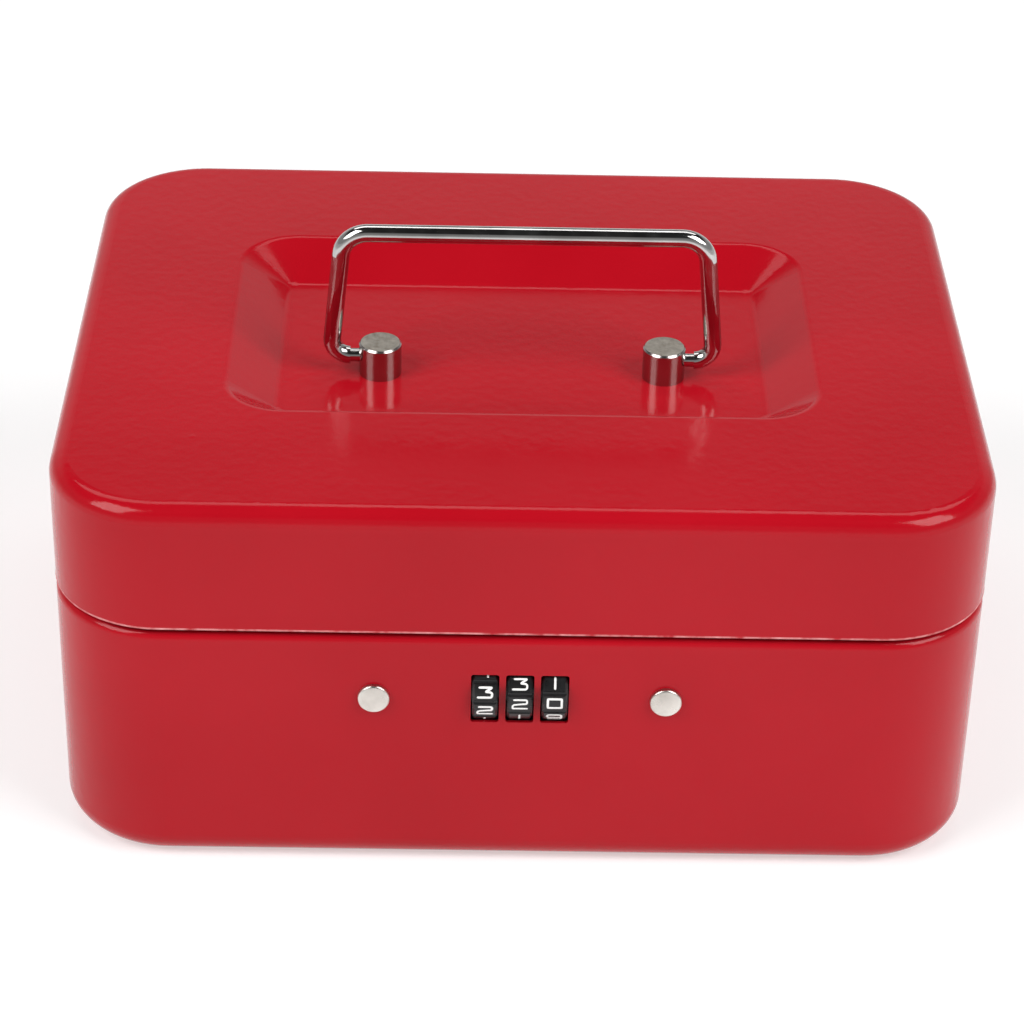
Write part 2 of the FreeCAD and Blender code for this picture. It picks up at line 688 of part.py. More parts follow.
# Dials: rims with a thumb groove between every two digits, keyed to their code sleeves
def dial(label, x, turn):
    wheel = new_body(label)
    profile = new_sketch(wheel, "profile", "XY")
    left, right = spread("dial_width")
    shoulder = "dial_radius - dial_chamfer"
    outline(profile, [(left, "dial_bore_radius"), (left, shoulder), (f"{left} + dial_chamfer", "dial_radius"),
                      (f"{right} - dial_chamfer", "dial_radius"), (right, shoulder),
                      (right, "dial_bore_radius")])
    revolve(wheel, profile, "H_Axis")
    notch = new_sketch(wheel, "notch", "YZ", "0", turn)
    circle(notch, "0", "dial_radius + dial_groove_radius - dial_groove_depth", "dial_groove_radius")
    rectangle(notch, *spread("key_width + 2 * seat_gap"), "dial_bore_radius - keyway_depth",
              "dial_bore_radius + keyway_depth")
    groove = cut(wheel, notch, "dial_width + 2 * cut_margin", both_ways=True)
    repeat_round(wheel, groove, "X_Axis", digit_count)
    place(wheel, x, dial_y, dial_z)


# Code sleeve: its inner flange has one gate that lets a spindle lug pass
def code_sleeve(label, x, turn):
    sleeve = new_body(label)
    profile = new_sketch(sleeve, "profile", "XY")
    left, right = spread("sleeve_length")
    flange_left, flange_right = spread("flange_thickness")
    skin = "dial_bore_radius - seat_gap"
    step = "-dial_width / 2 - seat_gap"
    bore = "spindle_radius + running_gap"
    outline(profile, [(left, "sleeve_bore_radius"), (left, "sleeve_shoulder_radius"),
                      (step, "sleeve_shoulder_radius"), (step, skin), (right, skin),
                      (right, "sleeve_bore_radius"), (flange_right, "sleeve_bore_radius"),
                      (flange_right, bore), (flange_left, bore), (flange_left, "sleeve_bore_radius")])
    revolve(sleeve, profile, "H_Axis")
    key = new_sketch(sleeve, "key", "YZ", "0", turn)
    rectangle(key, *spread("key_width"), "sleeve_bore_radius + touch_gap",
              "dial_bore_radius + keyway_depth - seat_gap")
    pad(sleeve, key, "key_length", both_ways=True)
    gate = new_sketch(sleeve, "gate", "YZ")
    rectangle(gate, *spread("gate_width"), "0", "lug_radius + lug_clearance")
    cut(sleeve, gate, "flange_thickness + lug_clearance", both_ways=True)
    place(sleeve, x, dial_y, dial_z)


for name, x in dial_places.items():
    dial(f"dial_{name}", x, f"{name}_dial_turn")
    code_sleeve(f"code_sleeve_{name}", x, f"{name}_dial_turn")

# Spindle: slides in the webs, its lugs stand beside the sleeve flanges
spindle = new_body("lock_spindle")
profile = new_sketch(spindle, "profile", "XY")
collar_near = "-collar_offset"
collar_far = "-collar_offset - collar_thickness"
outline(profile, [("-spindle_tail", "0"), ("-spindle_tail", "spindle_radius"), (collar_far, "spindle_radius"),
                  (collar_far, "collar_radius"), (collar_near, "collar_radius"),
                  (collar_near, "spindle_radius"), (bolt_start, "spindle_radius"),
                  (bolt_start, "spindle_stub_radius"),
                  (f"{bolt_start} + bolt_length / 2", "spindle_stub_radius"),
                  (f"{bolt_start} + bolt_length / 2", "0")])
revolve(spindle, profile, "H_Axis")
for name, x in dial_places.items():
    lug = new_sketch(spindle, f"lug_{name}", "YZ", f"{x} - flange_thickness / 2 - lug_clearance - lug_length")
    rectangle(lug, *spread("lug_width"), "spindle_radius / 2", "lug_radius")
    pad(spindle, lug, "lug_length")
place(spindle, "0", dial_y, dial_z)

# Bolt: a square nose on the spindle's end, bevelled where the keeper meets it
bolt = new_body("latch_bolt")
section = new_sketch(bolt, "section", "YZ", bolt_start)
rectangle(section, *spread("bolt_side"), *spread("bolt_side"))
bar = pad(bolt, section, "bolt_length")
bolt_tip = value(f"{bolt_start} + bolt_length") - tolerance
bolt_top = value("bolt_side / 2") - tolerance
bar = soften(bolt, bar, edges_where(bar, lambda edge: edge.BoundBox.XMin > bolt_tip
                                    and edge.BoundBox.ZMin > bolt_top), "bolt_bevel", "Chamfer")
bore = new_sketch(bolt, "bore", "YZ", bolt_start)
circle(bore, "0", "0", "spindle_stub_radius + seat_gap")
cut(bolt, bore, "bolt_length / 2 + seat_gap", backwards=True)
place(bolt, "0", dial_y, dial_z)

# Keeper: a cranked hook welded inside the lid's front wall
keeper = new_body("lid_keeper")
profile = new_sketch(keeper, "profile", "YZ", nose_tip)
foot = f"({nose_top} - keeper_nose_height)"
crank_top = "(keeper_crank_height + keeper_thickness)"
flange_face = f"({front_inside} + keeper_thickness)"
leg_rear = f"({keeper_face} + keeper_thickness)"
flange_top = "(keeper_crank_height + keeper_flange_height)"
outline(profile, [(front_inside, "keeper_crank_height"), (front_inside, flange_top),
                  (flange_face, flange_top), (flange_face, crank_top), (leg_rear, crank_top),
                  (leg_rear, foot), (keeper_face, foot), (keeper_face, "keeper_crank_height")])
pad(keeper, profile, "keeper_nose + keeper_leg_width")
hook = new_sketch(keeper, "hook", "XZ", f"cut_margin - {keeper_face}")
rectangle(hook, f"{nose_tip} - cut_margin", f"{nose_tip} + keeper_nose", nose_top,
          "keeper_crank_height - keeper_thickness")
outline(hook, [(f"{nose_tip} - cut_margin", f"{foot} - cut_margin"),
               (f"{nose_tip} + keeper_bevel + cut_margin", f"{foot} - cut_margin"),
               (f"{nose_tip} - cut_margin", f"{foot} + keeper_bevel + cut_margin")])
cut(keeper, hook, "keeper_thickness + 2 * cut_margin")

# Detent spring: a leaf on the case floor with one finger behind each dial
detent = new_body("detent_spring")
profile = new_sketch(detent, "profile", "YZ")
finger_face = f"({dial_y} + dial_radius + detent_gap)"
finger_back = f"({finger_face} + detent_thickness)"
finger_top = f"({dial_z} + detent_finger_rise)"
foot_top = f"({case_floor} + detent_thickness)"
outline(profile, [(f"{finger_back} - detent_foot", case_floor), (finger_back, case_floor),
                  (finger_back, finger_top), (finger_face, finger_top), (finger_face, foot_top),
                  (f"{finger_back} - detent_foot", foot_top)])
pad(detent, profile, "2 * dial_pitch + dial_width", both_ways=True)
slits = new_sketch(detent, "slits", "XZ", f"cut_margin - {finger_face}")
for side in post_sides.values():
    rectangle(slits, *spread("dial_pitch - dial_width", f"{side} * dial_pitch / 2"),
              f"{foot_top} + detent_thickness", f"{finger_top} + cut_margin")
cut(detent, slits, "detent_thickness + 2 * cut_margin")


# Bolt spring: a helix of quarter turns, each drawn as two arcs that share their tangent
def arc_between(start, tangent, end):
    chord = end - start
    side_way = tangent - chord * (tangent.dot(chord) / chord.dot(chord))
    lean = tangent.getAngle(chord)
    crown = side_way.normalize() * (chord.Length / 2 * math.tan(lean / 2))
    return Part.Arc(start, start + chord / 2 + crown, end)


def helix_point(turn, radius, pitch):
    angle = 2 * math.pi * turn
    spot = Vector(pitch * turn, radius * math.cos(angle), radius * math.sin(angle))
    rate = pitch / (2 * math.pi)
    return spot, Vector(rate, -radius * math.sin(angle), radius * math.cos(angle)).normalize()


radius = value("spring_radius")
wire_radius = value("spring_wire_radius")
spring_start = value("web_thickness / 2 + seat_gap - spring_web_offset")
spring_end = value("-collar_offset - collar_thickness - seat_gap")
pitch = (spring_end - spring_start - 2 * wire_radius) / spring_turns
quarters = [helix_point(step / 4, radius, pitch) for step in range(4 * spring_turns + 1)]
edges = []
for (start, leave), (end, arrive) in zip(quarters, quarters[1:]):
    chord = end - start
    lean = 2 * (1 - leave.dot(arrive))
    along = chord.dot(leave + arrive)
    reach = (math.sqrt(along ** 2 + lean * chord.dot(chord)) - along) / lean
    meeting = (start + leave * reach + end - arrive * reach) / 2
    edges.append(arc_between(start, leave, meeting).toShape())
    edges.append(arc_between(end, arrive * -1, meeting).toShape())
helix = Part.Wire(Part.__sortEdges__(edges))
ring = Part.Wire(Part.makeCircle(wire_radius, quarters[0][0], quarters[0][1]))
coil = Part.BRepOffsetAPI.MakePipeShell(helix)
coil.add(ring)
coil.build()
coil.makeSolid()
bolt_spring = doc.addObject("Part::Feature", "bolt_spring")
bolt_spring.Label = "bolt_spring"
bolt_spring.Shape = coil.shape()
bolt_spring.Placement.Base = Vector(spring_start + wire_radius, value(dial_y), value(dial_z))
parts.append(bolt_spring)
print(f"bolt spring: least gap between turns {pitch - 2 * wire_radius:.2f} mm")

# Coin tray: moulded, hung by its lip on the collar, with scooped coin cells and one long cell behind
tray = new_body("coin_tray")
tray_inset = f"({collar_inside} + tray_clearance)"
tray_left, tray_right = f"({tray_inset} - box_width / 2)", f"(box_width / 2 - {tray_inset})"
tray_front = f"({case_rear} + cover_thickness + tray_front_gap)"
tray_rear = f"({rear} - {tray_inset})"
tray_corner = f"(corner_radius - {tray_inset})"
tub = new_sketch(tray, "tub", "XY", "collar_height")
rounded(tub, tray_left, tray_right, tray_front, tray_rear, tray_corner, "tray_front_radius")
block = pad(tray, tub, "tray_depth", backwards=True)
soften(tray, block, edges_where(block, level("collar_height - tray_depth")), "tray_edge_radius")
lip = new_sketch(tray, "lip", "XY", "collar_height")
rounded(lip, f"{tray_left} - tray_lip", f"{tray_right} + tray_lip", f"{tray_front} - tray_lip",
        f"{tray_rear} + tray_lip", f"{tray_corner} + tray_lip", "tray_front_radius + tray_lip")
pad(tray, lip, "tray_lip_thickness")
cells = new_sketch(tray, "cells", "XY", "collar_height + tray_lip_thickness")
cell_front = f"({tray_front} + tray_wall)"
cell_rear = f"({cell_front} + tray_coin_reach)"
cell_width = f"(({tray_right} - {tray_left} - {coin_cells + 1} * tray_wall) / {coin_cells})"
for number in range(coin_cells):
    cell_left = f"({tray_left} + tray_wall + {number} * ({cell_width} + tray_wall))"
    rounded(cells, cell_left, f"{cell_left} + {cell_width}", cell_front, cell_rear, "tray_cell_radius")
rounded(cells, f"{tray_left} + tray_wall", f"{tray_right} - tray_wall", f"{cell_rear} + tray_wall",
        f"{tray_rear} - tray_wall", f"{tray_corner} - tray_wall", "tray_cell_radius")
block = cut(tray, cells, "tray_lip_thickness + tray_depth - tray_wall")
cell_floor = level("collar_height - tray_depth + tray_wall")
soften(tray, block, edges_where(block, cell_floor), "tray_scoop_radius")

doc.recompute()
for item in doc.Objects:
    if {"Invalid", "Error"} & set(item.State):
        raise RuntimeError(f"{item.Name} failed: {item.State}")
for part in parts:
    if part.Shape.isNull() or not part.Shape.isValid():
        raise RuntimeError(f"{part.Label} has no valid shape")
os.makedirs("parts", exist_ok=True)
for part in parts:
    part.Shape.exportStep(f"parts/{part.Label}.step")
    print(f"{part.Label}: {len(part.Shape.Solids)} solid(s), {part.Shape.Volume:.1f} mm3")
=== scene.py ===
import json
import math
import bpy
from mathutils import Matrix, Vector


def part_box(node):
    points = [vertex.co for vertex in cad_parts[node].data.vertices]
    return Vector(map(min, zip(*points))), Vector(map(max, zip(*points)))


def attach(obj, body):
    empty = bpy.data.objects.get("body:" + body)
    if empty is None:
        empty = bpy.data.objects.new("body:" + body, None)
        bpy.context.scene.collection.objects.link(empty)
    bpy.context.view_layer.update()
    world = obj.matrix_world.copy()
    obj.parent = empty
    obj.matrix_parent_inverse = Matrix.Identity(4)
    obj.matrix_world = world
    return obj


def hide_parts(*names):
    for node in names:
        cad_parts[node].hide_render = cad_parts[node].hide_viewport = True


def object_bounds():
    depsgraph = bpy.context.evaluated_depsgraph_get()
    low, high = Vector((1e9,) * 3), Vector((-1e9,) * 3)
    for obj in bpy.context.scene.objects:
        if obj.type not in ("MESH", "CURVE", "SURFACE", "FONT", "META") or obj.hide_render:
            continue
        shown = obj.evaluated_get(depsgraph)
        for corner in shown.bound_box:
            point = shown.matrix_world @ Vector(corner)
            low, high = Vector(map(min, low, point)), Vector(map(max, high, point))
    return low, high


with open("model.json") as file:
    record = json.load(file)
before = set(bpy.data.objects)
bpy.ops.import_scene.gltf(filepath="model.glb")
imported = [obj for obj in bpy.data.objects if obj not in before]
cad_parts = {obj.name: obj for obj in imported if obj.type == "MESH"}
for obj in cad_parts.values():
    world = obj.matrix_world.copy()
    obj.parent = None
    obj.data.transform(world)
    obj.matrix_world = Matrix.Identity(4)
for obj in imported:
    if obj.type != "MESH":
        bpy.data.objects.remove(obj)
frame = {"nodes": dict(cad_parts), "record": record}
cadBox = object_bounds()
nodes = frame["nodes"]
scene = bpy.context.scene
scene.view_settings.view_transform = "Standard"
print("frame loaded with", len(nodes), "nodes")


def startFresh():
    if bpy.context.object and bpy.context.object.mode != "OBJECT":
        bpy.ops.object.mode_set(mode="OBJECT")
    bpy.ops.object.select_all(action="DESELECT")


def newFinish(name, sockets):
    finish = bpy.data.materials.new(name)
    finish.use_nodes = True
    shader = finish.node_tree.nodes["Principled BSDF"]
    for socket, value in sockets.items():
        shader.inputs[socket].default_value = value
    return finish, finish.node_tree, shader


def grain(tree, scale, detail, roughness=0.5, stretch=(1, 1, 1)):
    # noise on object coordinates, in cycles per metre
    place = tree.nodes.new("ShaderNodeTexCoord")
    mapping = tree.nodes.new("ShaderNodeMapping")
    mapping.inputs["Scale"].default_value = stretch
    noise = tree.nodes.new("ShaderNodeTexNoise")
    noise.inputs["Scale"].default_value = scale
    noise.inputs["Detail"].default_value = detail
    noise.inputs["Roughness"].default_value = roughness
    tree.links.new(place.outputs["Object"], mapping.inputs["Vector"])
    tree.links.new(mapping.outputs["Vector"], noise.inputs["Vector"])
    return noise.outputs["Fac"]


noiseSpan = (0.3, 0.7)  # nearly all of the noise lies between these


def shades(tree, factor, dark, light):
    ramp = tree.nodes.new("ShaderNodeValToRGB")
    for stop, position, color in zip(ramp.color_ramp.elements, noiseSpan, (dark, light)):
        stop.position = position
        stop.color = (*color, 1)
    tree.links.new(factor, ramp.inputs["Fac"])
    return ramp.outputs["Color"]


def ranged(tree, value, limits, interpolation="LINEAR"):
    span = tree.nodes.new("ShaderNodeMapRange")
    span.interpolation_type = interpolation
    for socket, limit in zip(("From Min", "From Max", "To Min", "To Max"), limits):
        span.inputs[socket].default_value = limit
    tree.links.new(value, span.inputs["Value"])
    return span.outputs["Result"]


def combined(tree, operation, *terms):
    # each term is a plain number or the output of a node
    step = tree.nodes.new("ShaderNodeMath")
    step.operation = operation
    for slot, term in zip(step.inputs, terms):
        if isinstance(term, float):
            slot.default_value = term
        else:
            tree.links.new(term, slot)
    return step.outputs["Value"]


def bumpFrom(tree, shader, height, strength, distance):
    bump = tree.nodes.new("ShaderNodeBump")
    bump.inputs["Strength"].default_value = strength
    bump.inputs["Distance"].default_value = distance
    tree.links.new(height, bump.inputs["Height"])
    tree.links.new(bump.outputs["Normal"], shader.inputs["Normal"])


def nibs(tree, spacing, size):
    # sparse round specks, one to a cell
    place = tree.nodes.new("ShaderNodeTexCoord")
    cells = tree.nodes.new("ShaderNodeTexVoronoi")
    cells.inputs["Scale"].default_value = 1 / spacing
    tree.links.new(place.outputs["Object"], cells.inputs["Vector"])
    return ranged(tree, cells.outputs["Distance"], (0, size / spacing, 1, 0), "SMOOTHSTEP")


# each grain and relief is a noise: cycles per metre, detail, then roughness and stretch if they differ
# baked red enamel: slow drift of colour, orange peel with a few dust specks, a clear glossy skin
enamelLook = {
    "sockets": {"Specular IOR Level": 0.2},
    "dark": (0.37, 0.0032, 0.0095), "light": (0.42, 0.005, 0.013), "tintGrain": (14, 4),
    "rough": (0.11, 0.19), "glossGrain": (60, 3),
    "relief": (400, 2, 0.45), "bump": 0.35, "depth": 0.00014,
    "speckSpacing": 0.024, "speckSize": 0.0011, "speckShare": 0.8,
}
# enamel on the cut rim of the lid, mottled with pale pink as a painted highlight along the edge
rimHighlightLook = {
    "sockets": {"Specular IOR Level": 0.2},
    "dark": (0.42, 0.02, 0.028), "light": (0.72, 0.3, 0.3), "tintGrain": (420, 4),
    "rough": (0.2, 0.35), "glossGrain": (60, 3),
    "relief": (900, 2, 0.45), "bump": 0.35, "depth": 0.00003,
    "speckSpacing": 0.004, "speckSize": 0.0004, "speckShare": 0.5,
}
# bright plate on the bail: nearly mirror, with faint haze and polishing lines
plateLook = {
    "sockets": {"Metallic": 1.0},
    "dark": (0.42, 0.41, 0.4), "light": (0.6, 0.59, 0.58), "tintGrain": (90, 4),
    "rough": (0.06, 0.15), "glossGrain": (260, 3),
    "relief": (1500, 2, 0.5, (0.1, 1, 1)), "bump": 0.12, "depth": 0.00002,
}
# zinc-plated steel of rivets, screws, pin, keeper and bolt, then dark springs and dull castings
steelLook = {
    "sockets": {"Metallic": 1.0},
    "dark": (0.52, 0.49, 0.45), "light": (0.78, 0.75, 0.7), "tintGrain": (160, 5),
    "rough": (0.24, 0.42), "glossGrain": (500, 4),
    "relief": (1500, 3, 0.6, (1, 1, 0.25)), "bump": 0.2, "depth": 0.00003,
}
springLook = {
    **steelLook, "dark": (0.3, 0.3, 0.31), "light": (0.46, 0.46, 0.47), "rough": (0.2, 0.34),
    "glossGrain": (700, 4), "relief": (2100, 3, 0.6, (1, 1, 0.25)),
}
zincLook = {
    **steelLook, "dark": (0.36, 0.36, 0.37), "light": (0.5, 0.5, 0.51), "rough": (0.42, 0.6),
    "glossGrain": (900, 4), "relief": (2700, 3, 0.6, (1, 1, 0.25)),
}
# satin black dials, then a grained dark tray and the white paint of the numerals
dialLook = {
    "sockets": {"Specular IOR Level": 0.45},
    "dark": (0.004, 0.004, 0.0045), "light": (0.009, 0.009, 0.0095), "tintGrain": (220, 4),
    "rough": (0.24, 0.36), "glossGrain": (500, 3),
    "relief": (1800, 3, 0.55), "bump": 0.4, "depth": 0.00002,
}
trayLook = {
    **dialLook, "dark": (0.019, 0.019, 0.021), "light": (0.025, 0.025, 0.0275), "rough": (0.46, 0.56),
    "relief": (1300, 3, 0.55), "depth": 0.00008,
}
paintLook = {
    **dialLook, "dark": (0.78, 0.78, 0.76), "light": (0.9, 0.9, 0.88), "rough": (0.4, 0.55),
    "relief": (2400, 3, 0.55), "depth": 0.00001,
}


def makeFinish(name, look):
    finish, tree, shader = newFinish(name, look["sockets"])
    tint = shades(tree, grain(tree, *look["tintGrain"]), look["dark"], look["light"])
    gloss = ranged(tree, grain(tree, *look["glossGrain"]), (*noiseSpan, *look["rough"]))
    relief = grain(tree, *look["relief"])
    if "speckShare" in look:
        specks = nibs(tree, look["speckSpacing"], look["speckSize"])
        relief = combined(tree, "MULTIPLY_ADD", specks, look["speckShare"], relief)
    tree.links.new(tint, shader.inputs["Base Color"])
    tree.links.new(gloss, shader.inputs["Roughness"])
    bumpFrom(tree, shader, relief, look["bump"], look["depth"])
    return finish


# posts: plated sides, with a satin turned face on top
postLook = {
    "side": (0.42, 0.38, 0.37), "dullFace": (0.33, 0.29, 0.24), "cleanFace": (0.56, 0.52, 0.46),
    "faceGrain": (700, 5, 0.6), "sideRough": 0.2, "faceRough": 0.4, "faceFrom": 0.9,
    "relief": (1100, 4, 0.6, (0.3, 1, 1)), "bump": 0.25, "depth": 0.00004,
}


def makePostFinish(look):
    finish, tree, shader = newFinish("turnedPost", {"Metallic": 1.0})
    place = tree.nodes.new("ShaderNodeTexCoord")
    split = tree.nodes.new("ShaderNodeSeparateXYZ")
    tree.links.new(place.outputs["Normal"], split.inputs["Vector"])
    onTop = ranged(tree, split.outputs["Z"], (look["faceFrom"], 1, 0, 1))
    tint = tree.nodes.new("ShaderNodeMix")
    tint.data_type = "RGBA"
    sideColor, faceColor, mixed = tint.inputs[6], tint.inputs[7], tint.outputs[2]
    sideColor.default_value = (*look["side"], 1)
    face = shades(tree, grain(tree, *look["faceGrain"]), look["dullFace"], look["cleanFace"])
    tree.links.new(face, faceColor)
    tree.links.new(onTop, tint.inputs["Factor"])
    tree.links.new(mixed, shader.inputs["Base Color"])
    gloss = ranged(tree, onTop, (0, 1, look["sideRough"], look["faceRough"]))
    tree.links.new(gloss, shader.inputs["Roughness"])
    bumpFrom(tree, shader, grain(tree, *look["relief"]), look["bump"], look["depth"])
    return finish


finishes = {
    "red_enamel": makeFinish("redEnamel", enamelLook),
    "chrome": makeFinish("brightPlate", plateLook),
    "steel": makeFinish("platedSteel", steelLook),
    "spring_steel": makeFinish("springSteel", springLook),
    "zinc": makeFinish("castZinc", zincLook),
    "black_dial": makeFinish("blackDial", dialLook),
    "tray_plastic": makeFinish("grainedTray", trayLook),
}
ownFinish = dict.fromkeys(["handle_post_left", "handle_post_right"], makePostFinish(postLook))
for part in frame["record"]["subparts"]:
    for holder in nodes[part["node"]].material_slots:
        holder.material = ownFinish.get(part["node"], finishes[part["material_slot"]])
numeralPaint = makeFinish("numeralPaint", paintLook)
print("finishes on", len(nodes), "nodes")

# numerals: round-ended strokes filled with white paint, ten to a dial
numeralSet = {"wide": 0.00295, "tall": 0.0022, "stroke": 0.00026, "proud": 0.00005, "step": 36,
              "roundness": 2, "order": 3, "smoothness": 3, "merge": 1e-7,
              "nose": ((0.6, 0.8), (1.0, 0.45), (1.06, 0.1))}  # reach past the end, radius left
strokes = {
    0: [[(0.0, 0.5), (-0.48, 0.5), (-0.5, 0.46), (-0.5, -0.46), (-0.48, -0.5), (0.48, -0.5), (0.5, -0.46),
         (0.5, 0.46), (0.48, 0.5), (0.0, 0.5)]],
    1: [[(0.0, 0.5), (0.0, 0.0), (0.0, -0.5)]],
    2: [[(-0.4, 0.5), (0.3, 0.5), (0.52, 0.5), (0.52, 0.06), (0.28, 0.06), (-0.25, -0.02), (-0.52, -0.1),
         (-0.52, -0.5), (-0.44, -0.5), (-0.36, -0.5), (0.5, -0.5)]],
    3: [[(-0.38, 0.5), (0.42, 0.5), (0.47, 0.49), (0.44, 0.44), (0.1, 0.13), (0.07, 0.09), (0.12, 0.07),
         (0.46, 0.04), (0.52, -0.2), (0.46, -0.5), (0.2, -0.5), (-0.5, -0.5)]],
    4: [[(0.5, -0.2), (-0.44, -0.2), (-0.5, -0.18), (-0.46, -0.13), (0.14, 0.47), (0.19, 0.5),
         (0.2, 0.44), (0.2, -0.5)]],
    5: [[(0.46, 0.5), (-0.4, 0.5), (-0.44, 0.49), (-0.45, 0.44), (-0.47, 0.14), (-0.47, 0.09),
         (-0.42, 0.08), (0.46, 0.08), (0.54, -0.2), (0.46, -0.5), (0.2, -0.5), (-0.5, -0.5)]],
    6: [[(0.42, 0.5), (-0.2, 0.5), (-0.5, 0.46), (-0.5, 0.0), (-0.5, -0.48), (-0.3, -0.5), (0.3, -0.5),
         (0.52, -0.46), (0.52, 0.04), (0.3, 0.06), (-0.47, 0.06)]],
    7: [[(-0.5, 0.5), (0.42, 0.5), (0.5, 0.49), (0.47, 0.43), (-0.12, -0.5)]],
    8: [[(0.0, 0.5), (-0.38, 0.5), (-0.44, 0.46), (-0.44, 0.1), (-0.46, 0.04), (-0.5, -0.02),
         (-0.5, -0.46), (-0.44, -0.5), (0.44, -0.5), (0.5, -0.46), (0.5, -0.02), (0.46, 0.04),
         (0.44, 0.1), (0.44, 0.46), (0.38, 0.5), (0.0, 0.5)], [(-0.4, 0.04), (0.0, 0.04), (0.4, 0.04)]],
    9: [[(-0.42, -0.5), (0.2, -0.5), (0.5, -0.46), (0.5, 0.0), (0.5, 0.48), (0.3, 0.5), (-0.3, 0.5),
         (-0.52, 0.46), (-0.52, -0.04), (-0.3, -0.06), (0.47, -0.06)]],
}


def strokeLine(path, radius):
    # a loop drops its repeated point; other strokes get noses of falling radius, so that they end round
    points = [Vector((across * numeralSet["wide"], up * numeralSet["tall"], 0)) for across, up in path]
    if path[0] == path[-1]:
        return [(point, 1.0) for point in points[:-1]]
    spots = [(point, 1.0) for point in points]
    for end, inner in ((0, 1), (-1, -2)):
        away = (points[end] - points[inner]).normalized() * radius
        nose = [(points[end] + away * reach, size) for reach, size in numeralSet["nose"]]
        spots = nose[::-1] + spots if end == 0 else spots + nose
    return spots


def makeNumeral(digit):
    curve = bpy.data.curves.new(f"numeral{digit}", "CURVE")
    curve.dimensions = "3D"
    curve.bevel_depth = numeralSet["stroke"]
    curve.bevel_resolution = numeralSet["roundness"]
    curve.use_fill_caps = True
    for path in strokes[digit]:
        spots = strokeLine(path, numeralSet["stroke"])
        line = curve.splines.new("NURBS")
        line.points.add(len(spots) - 1)
        for point, (spot, radius) in zip(line.points, spots):
            point.co = (*spot, 1)
            point.radius = radius
        line.order_u = numeralSet["order"]
        line.use_cyclic_u = path[0] == path[-1]
        line.use_endpoint_u = not line.use_cyclic_u
        line.resolution_u = numeralSet["smoothness"]
    shape = bpy.data.objects.new(f"numeral{digit}", curve)
    scene.collection.objects.link(shape)
    return shape


def wrapOnDial(shape, axis, radius, turn):
    # flat numeral to the rim: height becomes arc length, thickness is pressed down to a paint film
    for vertex in shape.data.vertices:
        across, up, lift = vertex.co
        angle = math.radians(turn) + up / radius
        reach = radius + lift * numeralSet["proud"] / numeralSet["stroke"]
        vertex.co = (axis.x + across, axis.y - reach * math.cos(angle),
                     axis.z + reach * math.sin(angle))


# the digit that faces front on each dial, and how far above the front it stands in degrees
dialShows = {"left": (2, -15.0), "middle": (2, 0.0), "right": (0, 2.5)}


def numberDial(side):
    low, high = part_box(f"dial_{side}")
    axis = (low + high) / 2
    radius = (high.z - low.z) / 2
    firstDigit, firstTurn = dialShows[side]
    startFresh()
    shapes = []
    for step in range(len(strokes)):
        shape = makeNumeral((firstDigit + step) % len(strokes))
        shapes.append(shape)
        shape.select_set(True)
    bpy.context.view_layer.objects.active = shapes[0]
    bpy.ops.object.convert(target="MESH")
    for step, shape in enumerate(shapes):
        wrapOnDial(shape, axis, radius, firstTurn + numeralSet["step"] * step)
    bpy.ops.object.join()
    numerals = bpy.context.object
    numerals.name = f"numerals_{side}"
    bpy.ops.object.mode_set(mode="EDIT")
    bpy.ops.mesh.select_all(action="SELECT")
    bpy.ops.mesh.remove_doubles(threshold=numeralSet["merge"])
    bpy.ops.mesh.normals_make_consistent(inside=False)
    bpy.ops.object.mode_set(mode="OBJECT")
    bpy.ops.object.shade_smooth()
    numerals.data.materials.clear()
    numerals.data.materials.append(numeralPaint)
    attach(numerals, f"{side}_dial")


for side in dialShows:
    numberDial(side)
print("numerals on", len(dialShows), "dials")

# lid edge: the enamel gathers in a bead along the cut rim, from one side of the hinge notch to the other
rimBead = {"radius": 0.00038, "inset": 0.0003, "lift": 0.0002, "corner": 0.024, "notch": 0.0554,
           "sides": 10, "cornerSteps": 20, "merge": 1e-6, "crease": 50}


def makeRimBead():
    look = rimBead
    low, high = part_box("lid_shell")
    height = low.z + look["lift"]
    rear = high.y - look["inset"]
    turnX, turnRear, turnFront = (high.x - look["corner"], high.y - look["corner"],
                                  low.y + look["corner"])
    startFresh()
    bpy.ops.mesh.primitive_circle_add(vertices=look["sides"], radius=look["radius"], fill_type="NGON",
                                      location=(look["notch"], rear, height),
                                      rotation=(0, math.pi / 2, 0))
    bead = bpy.context.object
    bead.name = "lid_rim_bead"
    bpy.ops.object.transform_apply(location=True, rotation=True, scale=True)
    bpy.ops.object.mode_set(mode="EDIT")
    bpy.ops.mesh.select_all(action="SELECT")
    # straight runs with the corner that ends each
    runs = [((turnX - look["notch"], 0, 0), (turnX, turnRear)),
            ((0, turnFront - turnRear, 0), (turnX, turnFront)),
            ((-2 * turnX, 0, 0), (-turnX, turnFront)),
            ((0, turnRear - turnFront, 0), (-turnX, turnRear))]
    for move, centre in runs:
        bpy.ops.mesh.extrude_region_move(TRANSFORM_OT_translate={"value": move})
        bpy.ops.mesh.spin(steps=look["cornerSteps"], angle=math.pi / 2, center=(*centre, height),
                          axis=(0, 0, 1))
    lastRun = (turnX - look["notch"], 0, 0)
    bpy.ops.mesh.extrude_region_move(TRANSFORM_OT_translate={"value": lastRun})
    bpy.ops.mesh.select_all(action="SELECT")
    bpy.ops.mesh.remove_doubles(threshold=look["merge"])
    bpy.ops.mesh.normals_make_consistent(inside=False)
    bpy.ops.object.mode_set(mode="OBJECT")
    bpy.ops.object.shade_smooth_by_angle(angle=math.radians(look["crease"]))
    # the pale pink in this rim finish is a painted highlight, not a colour of the enamel
    bead.data.materials.append(makeFinish("paintedRimHighlight", rimHighlightLook))
    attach(bead, "lid")


makeRimBead()
print("bead on the lid rim")

